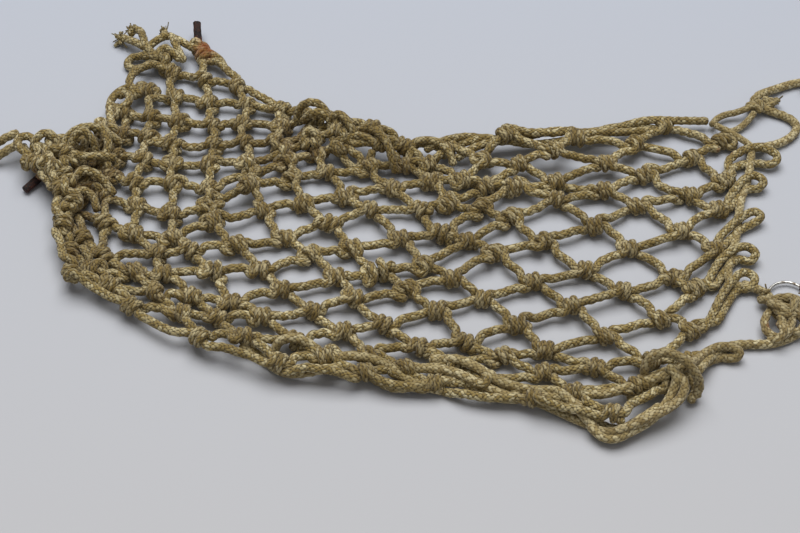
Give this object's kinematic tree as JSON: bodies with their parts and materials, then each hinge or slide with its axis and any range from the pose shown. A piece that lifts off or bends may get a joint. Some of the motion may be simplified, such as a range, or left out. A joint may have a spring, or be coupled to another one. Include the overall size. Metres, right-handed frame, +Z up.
{
  "type": "helmet net",
  "caption": "Worn khaki helmet net of hand-knotted braided cord, laid out flat, with draw cord, knotted ends, two iron hook rods and a small wire ring.",
  "frame": {"origin": "middle of the laid-out net, on the surface that it lies on, free cords left out", "axes": "+X along the net towards its ring end, +Y towards the bunched far edge, +Z up from the surface"},
  "size_m": [0.3516, 0.2177, 0.0152],
  "materials": {
    "net_cord": "matt braid, soiled",
    "draw_cord": "matt smooth braid",
    "rusty_iron": "dark, rusted",
    "bright_wire": "satin"
  },
  "bodies": {
    "root": {"net_mesh": "net_cord", "draw_cord": "draw_cord", "side_cord": "draw_cord", "end_loop": "draw_cord", "ring_cord": "draw_cord", "tail_front": "draw_cord", "tail_back": "draw_cord", "corner_knot": "net_cord", "loop_knot": "draw_cord", "ring_knot": "draw_cord", "tail_knot": "draw_cord", "frayed_knot": "net_cord", "wire_ring": "bright_wire", "hook_left": "rusty_iron", "hook_top": "rusty_iron"}
  },
  "joints": []
}
